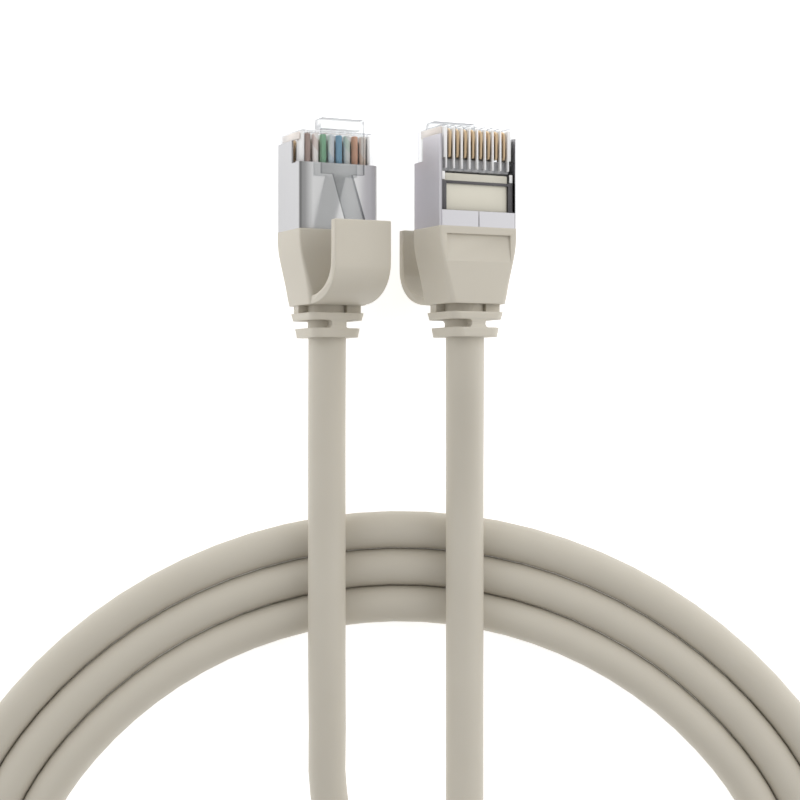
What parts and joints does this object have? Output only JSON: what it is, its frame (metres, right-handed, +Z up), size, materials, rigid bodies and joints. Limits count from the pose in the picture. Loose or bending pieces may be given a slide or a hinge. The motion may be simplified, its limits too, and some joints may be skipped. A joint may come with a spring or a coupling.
{
  "type": "ethernet patch cable",
  "caption": "Shielded ethernet patch cable coiled flat, with a booted clear modular plug on each end, each with gold contacts, a spring latch and a hooked latch guard.",
  "frame": {"origin": "midway between the two plugs, on the surface that the cable lies on", "axes": "+Y points out of both plugs' noses, +X runs across from plug A to plug B, +Z is up from the surface"},
  "size_m": [0.1379, 0.1757, 0.0205],
  "materials": {
    "pvc": "smooth warm grey-beige PVC with a soft sheen",
    "polycarbonate": "clear moulded polycarbonate",
    "nickel_sheet": "bright nickel-plated sheet metal",
    "gold_plate": "gold-plated contact blades",
    "cream_insert": "cream moulded insert seen through the clear housing",
    "wire_1": "white and orange insulation",
    "wire_2": "orange insulation",
    "wire_3": "white and green insulation",
    "wire_4": "blue insulation",
    "wire_5": "white and blue insulation",
    "wire_6": "green insulation",
    "wire_7": "white and brown insulation",
    "wire_8": "brown insulation"
  },
  "bodies": {
    "cable_and_plugs": {"boot_a": "pvc", "boot_b": "pvc", "cable_coil": "pvc", "cable_run_a": "pvc", "cable_run_b": "pvc", "contact_1_a": "gold_plate", "contact_1_b": "gold_plate", "contact_2_a": "gold_plate", "contact_2_b": "gold_plate", "contact_3_a": "gold_plate", "contact_3_b": "gold_plate", "contact_4_a": "gold_plate", "contact_4_b": "gold_plate", "contact_5_a": "gold_plate", "contact_5_b": "gold_plate", "contact_6_a": "gold_plate", "contact_6_b": "gold_plate", "contact_7_a": "gold_plate", "contact_7_b": "gold_plate", "contact_8_a": "gold_plate", "contact_8_b": "gold_plate", "crimp_sleeve_a": "nickel_sheet", "crimp_sleeve_b": "nickel_sheet", "plug_housing_a": "polycarbonate", "plug_housing_b": "polycarbonate", "shield_shell_a": "nickel_sheet", "shield_shell_b": "nickel_sheet", "wire_1_a": "wire_1", "wire_1_b": "wire_1", "wire_2_a": "wire_2", "wire_2_b": "wire_2", "wire_3_a": "wire_3", "wire_3_b": "wire_3", "wire_4_a": "wire_4", "wire_4_b": "wire_4", "wire_5_a": "wire_5", "wire_5_b": "wire_5", "wire_6_a": "wire_6", "wire_6_b": "wire_6", "wire_7_a": "wire_7", "wire_7_b": "wire_7", "wire_8_a": "wire_8", "wire_8_b": "wire_8", "wire_guide_a": "cream_insert", "wire_guide_b": "cream_insert"},
    "hood_a": {"hood_a": "pvc"},
    "hood_b": {"hood_b": "pvc"},
    "latch_a": {"latch_a": "polycarbonate"},
    "latch_b": {"latch_b": "polycarbonate"}
  },
  "joints": [
    {"name": "hood_a_press", "type": "hinge", "parent": "cable_and_plugs", "child": "hood_a", "pos_m": [-0.00723, -0.00911, 0.01257], "axis": [-0.898, 0, 0.4399], "range_deg": [0, 9], "stiffness_Nm_per_rad": 0.15},
    {"name": "latch_a_press", "type": "hinge", "parent": "cable_and_plugs", "child": "latch_a", "pos_m": [-0.00811, 0.01364, 0.01077], "axis": [0.898, 0, -0.4399], "range_deg": [0, 6.5], "stiffness_Nm_per_rad": 0.1},
    {"name": "hood_b_press", "type": "hinge", "parent": "cable_and_plugs", "child": "hood_b", "pos_m": [0.00723, -0.00919, 0.00796], "axis": [0.898, 0, -0.4399], "range_deg": [0, 9], "stiffness_Nm_per_rad": 0.15},
    {"name": "latch_b_press", "type": "hinge", "parent": "cable_and_plugs", "child": "latch_b", "pos_m": [0.00811, 0.01356, 0.00976], "axis": [-0.898, 0, 0.4399], "range_deg": [0, 6.5], "stiffness_Nm_per_rad": 0.1}
  ],
  "couplings": [
    {"joint": "latch_a_press", "follows": "hood_a_press", "ratio": 0.68},
    {"joint": "latch_b_press", "follows": "hood_b_press", "ratio": 0.68}
  ]
}
